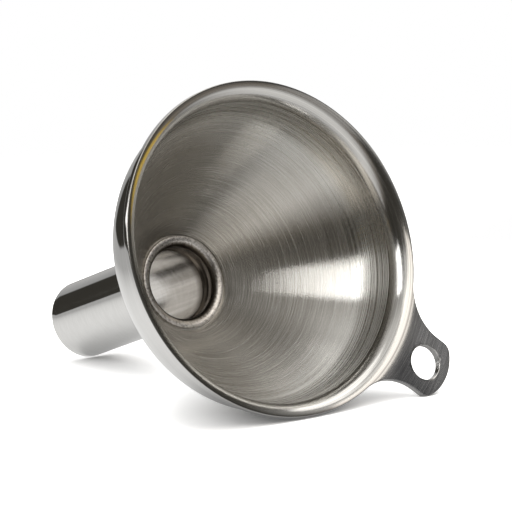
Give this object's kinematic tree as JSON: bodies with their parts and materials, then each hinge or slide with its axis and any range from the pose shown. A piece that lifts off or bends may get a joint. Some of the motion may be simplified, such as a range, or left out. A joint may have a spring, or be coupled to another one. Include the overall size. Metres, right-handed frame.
{
  "type": "kitchen funnel",
  "caption": "Small polished steel spice funnel: a flared bowl with a drilled hang tab on its rim and a straight spout tube locked into the throat.",
  "frame": {"origin": "centre of the spout's outlet, on the funnel's axis", "axes": "+Z along the funnel's axis from the outlet to the mouth, +X towards the hang tab"},
  "size_m": [0.068, 0.0572, 0.0626],
  "materials": {
    "bowl_steel": "turned satin inside, mirror polish outside",
    "tube_steel": "mirror polish, satin flared lip"
  },
  "bodies": {
    "root": {"bowl": "bowl_steel", "spout_tube": "tube_steel"}
  },
  "joints": []
}
